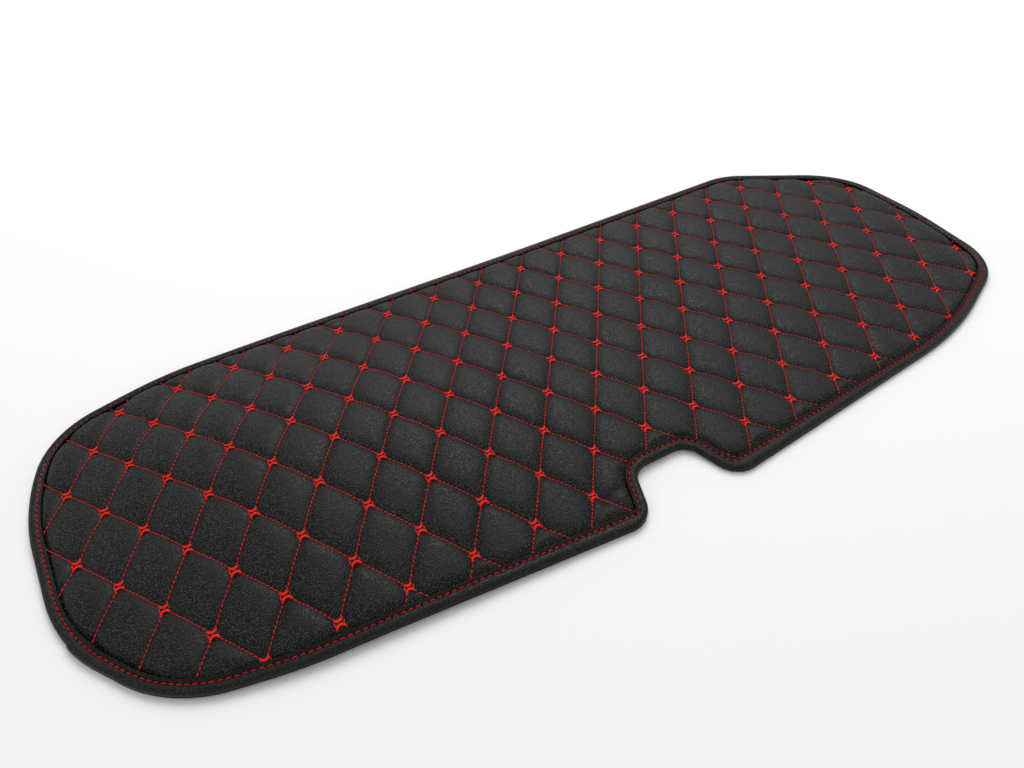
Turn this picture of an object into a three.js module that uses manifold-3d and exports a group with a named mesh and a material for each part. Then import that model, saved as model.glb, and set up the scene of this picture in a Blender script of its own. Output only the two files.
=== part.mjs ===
// Padded trunk liner: a quilted leatherette mat on foam, with a backing cloth,
// a sewn edge binding and a latch notch in the middle of its near edge.
// Millimetres. +X runs along the mat, +Y away from the notch side, +Z up from the floor.

import * as THREE from 'three';
import { mergeVertices } from 'three/addons/utils/BufferGeometryUtils.js';
import Module from 'manifold-3d';

// Outline of the mat, before its corners are rounded
const MAT_LENGTH = 1045;
const MAT_WIDTH = 411;
const NEAR_EDGE_BOW = 27;

// The far edge, the middle of the near edge, and where the near edge meets the two ends
const FAR_EDGE = 205;
const nearMiddle = FAR_EDGE - MAT_WIDTH;
const nearEdge = nearMiddle + NEAR_EDGE_BOW;

// Corners of the two ends: how far in from the end, y, and the radius of the round
const RIGHT_END_CORNERS = [
  [151, nearEdge, 390],
  [15, nearEdge + 56, 75],
  [0, FAR_EDGE - 207, 337],
  [4, FAR_EDGE - 111, 80],
  [32, FAR_EDGE - 71, 190],
  [143, FAR_EDGE, 84],
];
const LEFT_END_CORNERS = [
  [145, FAR_EDGE - 3, 315],
  [27, FAR_EDGE - 29, 90],
  [0, FAR_EDGE - 120, 240],
  [14, nearEdge + 117, 170],
  [81, nearEdge + 23, 160],
  [177, nearEdge + 1, 410],
];

// Latch notch in the near edge
const NOTCH_X = -3;
const NOTCH_TOP_WIDTH = 59;
const NOTCH_MOUTH_WIDTH = 92;
const NOTCH_DEPTH = 52;
const NOTCH_TOP_ROUND = 19;
const NOTCH_MOUTH_ROUND = 25;

// Diamond quilting, and where one of its crossings lies
const DIAMOND_WIDTH = 57.6;
const DIAMOND_LENGTH = 81.7;
const CROSSING_X = 5.2;
const CROSSING_Y = -37.7;

// The mat lies arched up in its left half, where it was folded for the box
const HUMP_HEIGHT = 27;
const HUMP_X = -301;
const HUMP_Y = 11;
const HUMP_REACH_LEFT = 222;
const HUMP_REACH_RIGHT = 440;
const HUMP_REACH_ACROSS = 260;
const HUMP_LEAN = 0.2;

// Layers: the quilted sheet is leatherette bonded to foam
const CLOTH_THICKNESS = 0.7;
const SHEET_AT_SEAM = 2.3;
const PILLOW_RISE = 4;
const PILLOW_EDGE_EASE = 14;
const PILLOW_EDGE_TUCK = 2;

// Binding strip, folded round the edge of the mat
const BINDING_THICKNESS = 1;
const BINDING_WIDTH = 11.5;
const BINDING_CORNER = 1.4;
const BINDING_GROOVE_WIDTH = 2.4;
const BINDING_GROOVE_DEPTH = 0.5;
const BINDING_SEAM_INSET = 8;

// Threads
const THREAD_WIDTH = 1.5;
const THREAD_HEIGHT = 0.8;
const TACK_REACH = 5.6;
const TACK_HEIGHT = 1.3;

// Gap left between pieces that touch
const GAP = 0.3;

// Fineness of the facets
const ARC_STEP = THREE.MathUtils.degToRad(18);
const SIDE_STEP = 42;
const WELD = 1e-3;

// Rounds of the outline: the least radius beyond the binding, and the share of a side each may take
const ROUND_SPARE = 2;
const ROUND_SHARE = 0.49;

// Shape of one pillow: its shoulder stands this far out and this high
const SHOULDER_OUT = 0.58;
const SHOULDER_UP = 0.86;

// Levels above the underside of the binding
const clothBottom = BINDING_THICKNESS + GAP;
const clothTop = clothBottom + CLOTH_THICKNESS;
const sheetBottom = clothTop + GAP;
const seamTop = sheetBottom + SHEET_AT_SEAM;
const lipBottom = seamTop + GAP;
const lipTop = lipBottom + BINDING_THICKNESS;

// The quilting thread bridges the groove between two pillows
const seamLength = Math.hypot(DIAMOND_WIDTH, DIAMOND_LENGTH) / 2;
const seamToMiddle = (DIAMOND_WIDTH * DIAMOND_LENGTH) / (4 * seamLength);
const grooveSlope = (PILLOW_RISE * SHOULDER_UP) / ((1 - SHOULDER_OUT) * seamToMiddle);
const threadFoot = seamTop + GAP + (grooveSlope * THREAD_WIDTH) / 2;

// Where the layers end inside the binding, and where the binding covers them
const layerInset = BINDING_THICKNESS + GAP;
const openInset = BINDING_WIDTH + GAP;

// Tall enough to cut through the whole mat
const CUT_HEIGHT = 4 * (HUMP_HEIGHT + lipTop + PILLOW_RISE);
const CUT_MARGIN = 20;

const wasm = await Module();
wasm.setup();

// Outline as points with inward normals

function outlineCorners() {
  const half = MAT_LENGTH / 2;
  const topHalf = NOTCH_TOP_WIDTH / 2;
  const mouthHalf = NOTCH_MOUTH_WIDTH / 2;
  return [
    [NOTCH_X + topHalf, nearMiddle + NOTCH_DEPTH, NOTCH_TOP_ROUND],
    [NOTCH_X + mouthHalf, nearMiddle, NOTCH_MOUTH_ROUND],
    ...RIGHT_END_CORNERS.map(([inward, y, round]) => [half - inward, y, round]),
    ...LEFT_END_CORNERS.map(([inward, y, round]) => [inward - half, y, round]),
    [NOTCH_X - mouthHalf, nearMiddle, NOTCH_MOUTH_ROUND],
    [NOTCH_X - topHalf, nearMiddle + NOTCH_DEPTH, NOTCH_TOP_ROUND],
  ].map(([x, y, round]) => ({ at: new THREE.Vector2(x, y), round }));
}

function leftOf(direction) {
  return new THREE.Vector2(-direction.y, direction.x);
}

// A round stays wider than the binding and within its two sides
function cornerArc(before, corner, after) {
  const into = corner.at.clone().sub(before.at);
  const out = after.at.clone().sub(corner.at);
  const room = ROUND_SHARE * Math.min(into.length(), out.length());
  into.normalize();
  out.normalize();
  const turn = Math.atan2(into.cross(out), into.dot(out));
  const tangent = Math.tan(Math.abs(turn) / 2);
  const round = Math.max(corner.round, BINDING_WIDTH + ROUND_SPARE);
  const setBack = Math.min(round * tangent, room);
  const radius = setBack / tangent;
  const start = corner.at.clone().addScaledVector(into, -setBack);
  const side = leftOf(into).multiplyScalar(Math.sign(turn));
  const centre = start.clone().addScaledVector(side, radius);
  const steps = Math.max(2, Math.ceil(Math.abs(turn) / ARC_STEP));
  const points = [];
  for (let k = 0; k <= steps; k += 1) {
    const angle = (turn * k) / steps;
    points.push({
      at: start.clone().rotateAround(centre, angle),
      inward: leftOf(into).rotateAround(new THREE.Vector2(), angle),
    });
  }
  return points;
}

function outlinePoints() {
  const corners = outlineCorners();
  const count = corners.length;
  const points = [];
  for (let k = 0; k < count; k += 1) {
    const arc = cornerArc(corners[(k + count - 1) % count], corners[k], corners[(k + 1) % count]);
    if (k > 0) points.push(...sideBetween(points.at(-1), arc[0]));
    points.push(...arc);
  }
  points.push(...sideBetween(points.at(-1), points[0]));
  return points;
}

function sideBetween(from, to) {
  const steps = Math.ceil(from.at.distanceTo(to.at) / SIDE_STEP);
  const points = [];
  for (let k = 1; k < steps; k += 1) {
    points.push({ at: from.at.clone().lerp(to.at, k / steps), inward: from.inward });
  }
  return points;
}

const rawOutline = outlinePoints();
const outlineBox = new THREE.Box2().setFromPoints(rawOutline.map((p) => p.at));
const centre = outlineBox.getCenter(new THREE.Vector2());

function insetPoint(point, inset) {
  return point.at.clone().addScaledVector(point.inward, inset);
}

// Distance from the outline, positive inside the mat
function insetOf(x, y) {
  let nearest = Infinity;
  let inside = false;
  for (let k = 0; k < rawOutline.length; k += 1) {
    const a = rawOutline[k].at;
    const b = rawOutline[(k + 1) % rawOutline.length].at;
    const along = b.clone().sub(a);
    const share = ((x - a.x) * along.x + (y - a.y) * along.y) / along.lengthSq();
    const foot = a.clone().addScaledVector(along, THREE.MathUtils.clamp(share, 0, 1));
    nearest = Math.min(nearest, Math.hypot(x - foot.x, y - foot.y));
    const crosses = a.y > y !== b.y > y;
    if (crosses && x < a.x + ((y - a.y) * along.x) / along.y) inside = !inside;
  }
  return inside ? nearest : -nearest;
}

// Height of the mat's underside over the floor
function hill(share) {
  return Math.cos((Math.PI / 2) * Math.min(1, Math.abs(share))) ** 2;
}

function lift(x, y) {
  const across = y - HUMP_Y;
  const along = Math.cos(HUMP_LEAN) * (x - HUMP_X) + Math.sin(HUMP_LEAN) * across;
  const reach = along < 0 ? HUMP_REACH_LEFT : HUMP_REACH_RIGHT;
  return HUMP_HEIGHT * hill(along / reach) * hill(across / HUMP_REACH_ACROSS);
}

// Meshes are gathered facet by facet and their corners welded

class Facets {
  corners = [];

  triangle(a, b, c) {
    this.corners.push(...a, ...b, ...c);
  }

  quad(a, b, c, d) {
    this.triangle(a, b, c);
    this.triangle(a, c, d);
  }

  geometry() {
    const soup = new THREE.BufferGeometry();
    soup.setAttribute('position', new THREE.Float32BufferAttribute(this.corners, 3));
    return mergeVertices(soup, WELD);
  }
}

function toSolid(geometry) {
  const bare = new THREE.BufferGeometry();
  bare.setAttribute('position', geometry.getAttribute('position').clone());
  if (geometry.index) bare.setIndex(geometry.index.clone());
  const welded = mergeVertices(bare, WELD);
  return new wasm.Manifold(new wasm.Mesh({
    numProp: 3,
    vertProperties: new Float32Array(welded.getAttribute('position').array),
    triVerts: new Uint32Array(welded.index.array),
  }));
}

function toGeometry(solid) {
  const mesh = solid.getMesh();
  const geometry = new THREE.BufferGeometry();
  geometry.setAttribute('position', new THREE.BufferAttribute(mesh.vertProperties.slice(), 3));
  geometry.setIndex(new THREE.BufferAttribute(mesh.triVerts.slice(), 1));
  return geometry;
}

// A section of [inset, level] points, carried once round the outline
function edgeRing(section) {
  const facets = new Facets();
  const rings = rawOutline.map((point) => section.map(([inset, level]) => {
    const at = insetPoint(point, inset);
    return [at.x, at.y, lift(at.x, at.y) + level];
  }));
  rings.forEach((ring, k) => {
    const next = rings[(k + 1) % rings.length];
    ring.forEach((corner, m) => {
      const n = (m + 1) % ring.length;
      facets.quad(corner, ring[n], next[n], next[m]);
    });
  });
  return facets.geometry();
}

// Everything inside the outline moved in by inset
function insetPrism(inset) {
  const shape = new THREE.Shape(rawOutline.map((point) => insetPoint(point, inset)));
  const prism = new THREE.ExtrudeGeometry(shape, { depth: CUT_HEIGHT, bevelEnabled: false });
  prism.translate(0, 0, -CUT_HEIGHT / 4);
  return toSolid(prism);
}

// Quilting lattice: crossings are numbered along the two families of seams

function crossingAt(i, j) {
  return new THREE.Vector2(
    CROSSING_X + ((i + j) * DIAMOND_WIDTH) / 2,
    CROSSING_Y + ((j - i) * DIAMOND_LENGTH) / 2,
  );
}

function latticeNumbers() {
  const box = outlineBox.clone().expandByScalar(DIAMOND_LENGTH);
  const reach = Math.ceil((box.max.x - box.min.x) / DIAMOND_WIDTH);
  const numbers = [];
  for (let i = -reach; i <= reach; i += 1) {
    for (let j = -reach; j <= reach; j += 1) {
      if (box.containsPoint(crossingAt(i, j))) numbers.push([i, j]);
    }
  }
  return numbers;
}

// A diamond is named by its left crossing, and its corners run counter-clockwise
function diamondCorners(i, j) {
  return [[i, j], [i + 1, j], [i + 1, j + 1], [i, j + 1]];
}

// Pillows flatten towards the binding
function pillowShare(x, y) {
  return THREE.MathUtils.smoothstep(insetOf(x, y), openInset - PILLOW_EDGE_TUCK, openInset + PILLOW_EDGE_EASE);
}

// Straight seam between two crossings, with a point at each end of the stitched line
function seamPoint(from, to, distance) {
  const length = from.distanceTo(to);
  const share = distance / length;
  const at = from.clone().lerp(to, share);
  const height = THREE.MathUtils.lerp(lift(from.x, from.y), lift(to.x, to.y), share);
  return [at.x, at.y, height];
}

function raised([x, y, z], level) {
  return [x, y, z + level];
}

// One diamond of the quilted face: flat at its four crossings, crowned between its seams
function pillowTop(facets, corners) {
  const middle = corners[0].clone().add(corners[2]).multiplyScalar(0.5);
  const share = pillowShare(middle.x, middle.y);
  const crown = [middle.x, middle.y, lift(middle.x, middle.y) + seamTop + PILLOW_RISE * share];
  const shoulders = corners.map((corner) => {
    const at = middle.clone().lerp(corner, SHOULDER_OUT);
    const rise = PILLOW_RISE * SHOULDER_UP * pillowShare(at.x, at.y);
    return [at.x, at.y, lift(at.x, at.y) + seamTop + rise];
  });
  const ends = corners.map((corner, k) => {
    const next = corners[(k + 1) % 4];
    return {
      crossing: raised(seamPoint(corner, next, 0), seamTop),
      start: raised(seamPoint(corner, next, TACK_REACH), seamTop),
      end: raised(seamPoint(corner, next, corner.distanceTo(next) - TACK_REACH), seamTop),
    };
  });
  for (let k = 0; k < 4; k += 1) {
    const n = (k + 1) % 4;
    const before = ends[(k + 3) % 4];
    facets.quad(ends[k].start, ends[k].end, shoulders[n], shoulders[k]);
    facets.triangle(before.end, ends[k].start, shoulders[k]);
    facets.triangle(ends[k].crossing, ends[k].start, before.end);
    facets.triangle(shoulders[k], shoulders[n], crown);
  }
  return ends.map((end) => [end.crossing, end.start, end.end]);
}

// One diamond of a plain layer
function plainTop(facets, corners, level) {
  const middle = corners[0].clone().add(corners[2]).multiplyScalar(0.5);
  const peak = [middle.x, middle.y, lift(middle.x, middle.y) + level];
  const rim = corners.map((corner) => [corner.x, corner.y, lift(corner.x, corner.y) + level]);
  for (let k = 0; k < 4; k += 1) facets.triangle(rim[k], rim[(k + 1) % 4], peak);
  return rim.map((point) => [point]);
}

// A block of diamonds between a plain bottom and a pillowed or plain top
function latticeBlock(bottomLevel, makeTop) {
  const diamonds = new Map(latticeNumbers().map(([i, j]) => [`${i},${j}`, [i, j]]));
  const facets = new Facets();
  const underside = new Facets();
  for (const [i, j] of diamonds.values()) {
    const numbers = diamondCorners(i, j);
    const corners = numbers.map(([a, b]) => crossingAt(a, b));
    const tops = makeTop(facets, corners);
    const rim = plainTop(underside, corners, bottomLevel);
    const neighbours = [[i, j - 1], [i + 1, j], [i, j + 1], [i - 1, j]];
    neighbours.forEach(([a, b], k) => {
      if (diamonds.has(`${a},${b}`)) return;
      const n = (k + 1) % 4;
      const upper = [...tops[k], tops[n][0]];
      for (let m = 1; m < upper.length; m += 1) facets.triangle(rim[k][0], upper[m], upper[m - 1]);
      facets.triangle(rim[k][0], rim[n][0], upper.at(-1));
    });
  }
  for (let k = 0; k < underside.corners.length; k += 9) {
    const [a, b, c] = [0, 3, 6].map((m) => underside.corners.slice(k + m, k + m + 3));
    facets.triangle(a, c, b);
  }
  return toSolid(facets.geometry());
}

// Pieces

// The room that the folded binding takes up, between two levels
function bindingRoom(low, high) {
  return toSolid(edgeRing([
    [-CUT_MARGIN / 2, low],
    [openInset, low],
    [openInset, high],
    [-CUT_MARGIN / 2, high],
  ]));
}

function quiltedSheet() {
  const block = latticeBlock(sheetBottom, pillowTop);
  const underLip = bindingRoom(seamTop, seamTop + CUT_MARGIN);
  return toGeometry(block.intersect(insetPrism(layerInset)).subtract(underLip));
}

function backingCloth() {
  const block = latticeBlock(clothBottom, (facets, corners) => plainTop(facets, corners, clothTop));
  const overLip = bindingRoom(clothBottom - CUT_MARGIN, clothBottom);
  return toGeometry(block.intersect(insetPrism(layerInset)).subtract(overLip));
}

// The strip's section, from its lower inner edge round the outside to its upper inner edge
function edgeBinding() {
  const grooveIn = BINDING_SEAM_INSET + BINDING_GROOVE_WIDTH / 2;
  const grooveOut = BINDING_SEAM_INSET - BINDING_GROOVE_WIDTH / 2;
  return edgeRing([
    [BINDING_WIDTH, 0],
    [BINDING_WIDTH, BINDING_THICKNESS],
    [BINDING_THICKNESS, BINDING_THICKNESS],
    [BINDING_THICKNESS, lipBottom],
    [BINDING_WIDTH, lipBottom],
    [BINDING_WIDTH, lipTop],
    [grooveIn, lipTop],
    [BINDING_SEAM_INSET, lipTop - BINDING_GROOVE_DEPTH],
    [grooveOut, lipTop],
    [BINDING_CORNER, lipTop],
    [0, lipTop - BINDING_CORNER],
    [0, BINDING_CORNER / 2],
    [BINDING_CORNER / 2, 0],
  ]);
}

// The seam's thread lies in the strip's groove
function bindingThread() {
  const bottom = lipTop - BINDING_GROOVE_DEPTH + GAP;
  const side = bottom + THREAD_HEIGHT / 2;
  return edgeRing([
    [BINDING_SEAM_INSET - THREAD_WIDTH / 2, side],
    [BINDING_SEAM_INSET, bottom],
    [BINDING_SEAM_INSET + THREAD_WIDTH / 2, side],
    [BINDING_SEAM_INSET, bottom + THREAD_HEIGHT],
  ]);
}

// Quilting thread: an arm along each seam and a tack on each crossing, all one net

const ARM_STEPS = [[1, 0], [0, 1], [-1, 0], [0, -1]];

function crossingKey([i, j]) {
  return `${i},${j}`;
}

// Crossings that the binding leaves open and that hang together
function openCrossings() {
  const margin = openInset + TACK_REACH + THREAD_WIDTH;
  const open = new Map();
  for (const number of latticeNumbers()) {
    const at = crossingAt(...number);
    if (insetOf(at.x, at.y) > margin) open.set(crossingKey(number), number);
  }
  const start = [...open.values()].sort((a, b) => crossingAt(...a).length() - crossingAt(...b).length())[0];
  const joined = new Map([[crossingKey(start), start]]);
  const queue = [start];
  while (queue.length > 0) {
    const [i, j] = queue.pop();
    for (const [a, b] of ARM_STEPS) {
      const key = crossingKey([i + a, j + b]);
      if (open.has(key) && !joined.has(key)) {
        joined.set(key, open.get(key));
        queue.push(open.get(key));
      }
    }
  }
  return joined;
}

// How far an arm towards a covered crossing runs before it meets the binding
function armLength(from, to) {
  const length = from.distanceTo(to);
  const reach = openInset + THREAD_WIDTH;
  let run = TACK_REACH;
  while (run < length) {
    const next = from.clone().lerp(to, (run + 1) / length);
    if (insetOf(next.x, next.y) < reach) break;
    run += 1;
  }
  return run;
}

// Left foot, right foot and ridge of an arm's section
function armSection(from, to, distance, height) {
  const centreLine = seamPoint(from, to, distance);
  const direction = to.clone().sub(from).normalize();
  const side = leftOf(direction).multiplyScalar(THREAD_WIDTH / 2);
  return {
    left: raised([centreLine[0] + side.x, centreLine[1] + side.y, centreLine[2]], threadFoot),
    right: raised([centreLine[0] - side.x, centreLine[1] - side.y, centreLine[2]], threadFoot),
    ridge: raised(centreLine, threadFoot + height),
  };
}

function quiltingThread() {
  const facets = new Facets();
  const crossings = openCrossings();
  for (const [i, j] of crossings.values()) {
    const at = crossingAt(i, j);
    const base = lift(at.x, at.y) + threadFoot;
    const top = [at.x, at.y, base + TACK_HEIGHT];
    const feet = [];
    for (const [a, b] of ARM_STEPS) {
      const far = crossingAt(i + a, j + b);
      const section = armSection(at, far, TACK_REACH, THREAD_HEIGHT);
      feet.push(section);
      if (!crossings.has(crossingKey([i + a, j + b]))) {
        const run = armLength(at, far);
        const end = run > TACK_REACH ? armSection(at, far, run, THREAD_HEIGHT) : section;
        if (end !== section) armSides(facets, section, end);
        facets.triangle(end.right, end.left, end.ridge);
      } else if (a + b > 0) {
        const other = armSection(far, at, TACK_REACH, THREAD_HEIGHT);
        armSides(facets, section, { left: other.right, right: other.left, ridge: other.ridge });
      }
    }
    feet.forEach((foot, k) => {
      const next = feet[(k + 1) % 4];
      facets.triangle(top, foot.right, foot.ridge);
      facets.triangle(top, foot.ridge, foot.left);
      facets.triangle(top, foot.left, next.right);
      facets.triangle([at.x, at.y, base], foot.left, foot.right);
      facets.triangle([at.x, at.y, base], next.right, foot.left);
    });
  }
  return facets.geometry();
}

function armSides(facets, near, far) {
  facets.quad(near.right, far.right, far.ridge, near.ridge);
  facets.quad(near.ridge, far.ridge, far.left, near.left);
  facets.quad(near.left, far.left, far.right, near.right);
}

// Materials
const leatherette = new THREE.MeshStandardMaterial({ color: 0x26282a, roughness: 0.5, metalness: 0 });
const bindingLeather = new THREE.MeshStandardMaterial({ color: 0x222426, roughness: 0.55, metalness: 0 });
const backing = new THREE.MeshStandardMaterial({ color: 0x2b2b2d, roughness: 0.95, metalness: 0 });
const redThread = new THREE.MeshStandardMaterial({ color: 0xc8242a, roughness: 0.6, metalness: 0 });

function piece(name, geometry, material) {
  const flat = geometry.index ? geometry.toNonIndexed() : geometry;
  flat.computeVertexNormals();
  const mesh = new THREE.Mesh(flat, material);
  mesh.name = name;
  return mesh;
}

const group = new THREE.Group();
group.add(
  piece('quilted_sheet', quiltedSheet(), leatherette),
  piece('backing_cloth', backingCloth(), backing),
  piece('edge_binding', edgeBinding(), bindingLeather),
  piece('quilting_thread', quiltingThread(), redThread),
  piece('binding_thread', bindingThread(), redThread),
);

// The origin is on the floor, at the middle of the mat's box
group.position.set(-centre.x, -centre.y, 0);

export default group;
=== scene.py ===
import math

import bpy
import numpy as np
from mathutils import Matrix, Vector, kdtree


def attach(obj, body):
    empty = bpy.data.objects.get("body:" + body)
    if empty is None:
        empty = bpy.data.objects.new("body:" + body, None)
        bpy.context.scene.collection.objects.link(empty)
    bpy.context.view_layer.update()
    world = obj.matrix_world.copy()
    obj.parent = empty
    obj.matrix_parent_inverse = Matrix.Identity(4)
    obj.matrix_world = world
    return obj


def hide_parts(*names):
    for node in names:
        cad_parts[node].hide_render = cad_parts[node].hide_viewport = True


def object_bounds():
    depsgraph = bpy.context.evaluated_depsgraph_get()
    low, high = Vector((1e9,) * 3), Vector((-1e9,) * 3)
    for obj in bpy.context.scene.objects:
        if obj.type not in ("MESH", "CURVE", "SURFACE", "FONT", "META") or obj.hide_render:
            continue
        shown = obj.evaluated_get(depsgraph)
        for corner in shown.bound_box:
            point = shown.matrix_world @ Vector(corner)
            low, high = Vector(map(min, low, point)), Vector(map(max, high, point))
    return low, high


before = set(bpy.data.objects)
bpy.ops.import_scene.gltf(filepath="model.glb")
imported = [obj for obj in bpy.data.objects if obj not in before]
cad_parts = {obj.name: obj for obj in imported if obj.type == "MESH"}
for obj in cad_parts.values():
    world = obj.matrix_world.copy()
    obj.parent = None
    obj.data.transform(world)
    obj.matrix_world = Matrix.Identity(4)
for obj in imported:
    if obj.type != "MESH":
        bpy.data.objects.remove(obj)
cad_low, cad_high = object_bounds()


# Viewpoint
# A hand-held camera with a wide lens, half a metre above the floor and off the mat's near left
# side. It looks down on the mat and is turned a little to the right.

CAMERA_AT = Vector((-0.3056, -0.4605, 0.5172))
CAMERA_HEADING = math.radians(26.84)
CAMERA_DEPRESSION = math.radians(44.78)
CAMERA_ROLL = math.radians(-3.51)
CAMERA_LENS = 25.2
CAMERA_SENSOR = 36

camera_data = bpy.data.cameras.new("viewpoint")
camera_data.lens = CAMERA_LENS
camera_data.sensor_width = CAMERA_SENSOR
camera = bpy.data.objects.new("viewpoint", camera_data)
bpy.context.scene.collection.objects.link(camera)
camera.matrix_world = (
    Matrix.Translation(CAMERA_AT)
    @ Matrix.Rotation(-CAMERA_HEADING, 4, "Z")
    @ Matrix.Rotation(math.pi / 2 - CAMERA_DEPRESSION, 4, "X")
    @ Matrix.Rotation(CAMERA_ROLL, 4, "Z")
)
bpy.context.scene.camera = camera


# Quilted sheet
# Black leatherette bonded to thin foam and quilted in diamonds. The seams press the foam down to
# a narrow valley and the tacks flatten it round each crossing, so that every diamond stands up as
# a pillow with round corners. The sheet's cut edge ends inside the folded binding.

MM = 0.001

MAT_LENGTH = 1045 * MM
MAT_WIDTH = 411 * MM
FAR_EDGE = 205 * MM
NEAR_MIDDLE = FAR_EDGE - MAT_WIDTH
NEAR_EDGE = NEAR_MIDDLE + 27 * MM

# Corners of the two ends: how far in from the end, y, and the radius of the round
RIGHT_END_CORNERS = [
    (151 * MM, NEAR_EDGE, 390 * MM),
    (15 * MM, NEAR_EDGE + 56 * MM, 75 * MM),
    (0, FAR_EDGE - 207 * MM, 337 * MM),
    (4 * MM, FAR_EDGE - 111 * MM, 80 * MM),
    (32 * MM, FAR_EDGE - 71 * MM, 190 * MM),
    (143 * MM, FAR_EDGE, 84 * MM),
]
LEFT_END_CORNERS = [
    (145 * MM, FAR_EDGE - 3 * MM, 315 * MM),
    (27 * MM, FAR_EDGE - 29 * MM, 90 * MM),
    (0, FAR_EDGE - 120 * MM, 240 * MM),
    (14 * MM, NEAR_EDGE + 117 * MM, 170 * MM),
    (81 * MM, NEAR_EDGE + 23 * MM, 160 * MM),
    (177 * MM, NEAR_EDGE + 1 * MM, 410 * MM),
]

# The notch's corners: half the width between them, y, and the radius of the round
NOTCH_X = -3 * MM
NOTCH_TOP = (59 / 2 * MM, NEAR_MIDDLE + 52 * MM, 19 * MM)
NOTCH_MOUTH = (92 / 2 * MM, NEAR_MIDDLE, 25 * MM)

# A round takes at most this share of the shorter side that it ends
ROUND_SHARE = 0.49
ARC_STEPS = 60
OUTLINE_SPACING = 1 * MM

# The binding's seam follows the edge, but turns sharply and further in at the notch's mouth. The
# shifts are those of its right and its left corner.
SEAM_INSET = 8 * MM
SEAM_MOUTH_RADIUS = 11.5 * MM
SEAM_MOUTH_SHIFTS = [(0.3 * MM, 6.45 * MM), (0.7 * MM, 4.45 * MM)]
SEAM_MOUTH_REACH = 35 * MM


def outline_corners():
    """The outline's corners in order, counter-clockwise from the notch: x, y and radius."""
    half = MAT_LENGTH / 2
    top, mouth = NOTCH_TOP, NOTCH_MOUTH
    return [
        (NOTCH_X + mouth[0], *mouth[1:]),
        *[(half - inward, y, radius) for inward, y, radius in RIGHT_END_CORNERS],
        *[(inward - half, y, radius) for inward, y, radius in LEFT_END_CORNERS],
        (NOTCH_X - mouth[0], *mouth[1:]),
        (NOTCH_X - top[0], *top[1:]),
        (NOTCH_X + top[0], *top[1:]),
    ]


MOUTH_CORNERS = [0, len(RIGHT_END_CORNERS) + len(LEFT_END_CORNERS) + 1]


def corner_arc(before, corner, after):
    """Points and inward normals round one corner of the outline."""
    at = np.array(corner[:2])
    into = at - before[:2]
    out = np.array(after[:2]) - at
    room = ROUND_SHARE * min(np.linalg.norm(into), np.linalg.norm(out))
    into /= np.linalg.norm(into)
    out /= np.linalg.norm(out)
    turn = math.atan2(into[0] * out[1] - into[1] * out[0], into @ out)
    tangent = math.tan(abs(turn) / 2)
    set_back = min(corner[2] * tangent, room)
    radius = set_back / tangent
    left = np.array([-into[1], into[0]])
    centre = at - into * set_back + left * radius * np.sign(turn)
    angles = turn * np.arange(ARC_STEPS + 1) / ARC_STEPS
    cos, sin = np.cos(angles), np.sin(angles)
    inward = np.stack([left[0] * cos - left[1] * sin, left[0] * sin + left[1] * cos], 1)
    return centre - inward * radius * np.sign(turn), inward


def around(corners):
    """The closed line round the corners: its points and inward normals."""
    count = len(corners)
    arcs = [corner_arc(corners[k - 1], corners[k], corners[(k + 1) % count]) for k in range(count)]
    return [np.vstack(column) for column in zip(*arcs)]


def way_along(points):
    """Distances along a closed line, from its first point round to it again."""
    closed = np.vstack([points, points[:1]])
    return np.concatenate([[0], np.cumsum(np.linalg.norm(np.diff(closed, axis=0), axis=1))])


def evenly(step, points, *others):
    """A closed line, and lines that go with it point by point, at equal steps along the first."""
    way = way_along(points)
    count = round(way[-1] / step)
    at = way[-1] * np.arange(count) / count
    lines = [np.vstack([line, line[:1]]) for line in (points, *others)]
    return [np.stack([np.interp(at, way, column) for column in line.T], 1) for line in lines]


def inward_of(points):
    """Inward normals of a closed line that runs counter-clockwise."""
    ahead = np.roll(points, -1, 0) - np.roll(points, 1, 0)
    ahead /= np.linalg.norm(ahead, axis=1)[:, None]
    return np.stack([-ahead[:, 1], ahead[:, 0]], 1)


def make_lines():
    """The mat's edge and the binding's seam, point by point, about the middle of the mat."""
    corners = outline_corners()
    points, inward = around(corners)
    seam = points + inward * SEAM_INSET
    turned = list(corners)
    for number, shift in zip(MOUTH_CORNERS, SEAM_MOUTH_SHIFTS):
        x, y, _ = corners[number]
        turned[number] = (x + shift[0], y + shift[1], SEAM_MOUTH_RADIUS)
    guide, guide_inward = around(turned)
    for number in MOUTH_CORNERS:
        away = np.linalg.norm(points - corners[number][:2], axis=1)
        share = np.exp(-((away / SEAM_MOUTH_REACH) ** 2))[:, None]
        seam += share * (guide + guide_inward * SEAM_INSET - points - inward * SEAM_INSET)
    middle = (points.min(0) + points.max(0)) / 2
    return middle, *evenly(OUTLINE_SPACING, points - middle, seam - middle)


outline_middle, edge_points, seam_points = make_lines()


def finder(points):
    """A function that tells how far inside a closed line places are, with the inward normals."""
    inward = inward_of(points)
    tree = kdtree.KDTree(len(points))
    for number, (x, y) in enumerate(points):
        tree.insert((x, y, 0), number)
    tree.balance()

    def inside(places):
        numbers = np.array([tree.find((x, y, 0))[1] for x, y in places])
        return ((places - points[numbers]) * inward[numbers]).sum(1), inward[numbers]

    return inside


inside_edge = finder(edge_points)
inside_seam = finder(seam_points)


HUMP_HEIGHT = 27 * MM
HUMP_AT = np.array([-301, 11]) * MM - outline_middle
HUMP_REACH_LEFT = 222 * MM
HUMP_REACH_RIGHT = 440 * MM
HUMP_REACH_ACROSS = 260 * MM
HUMP_LEAN = 0.2


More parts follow.
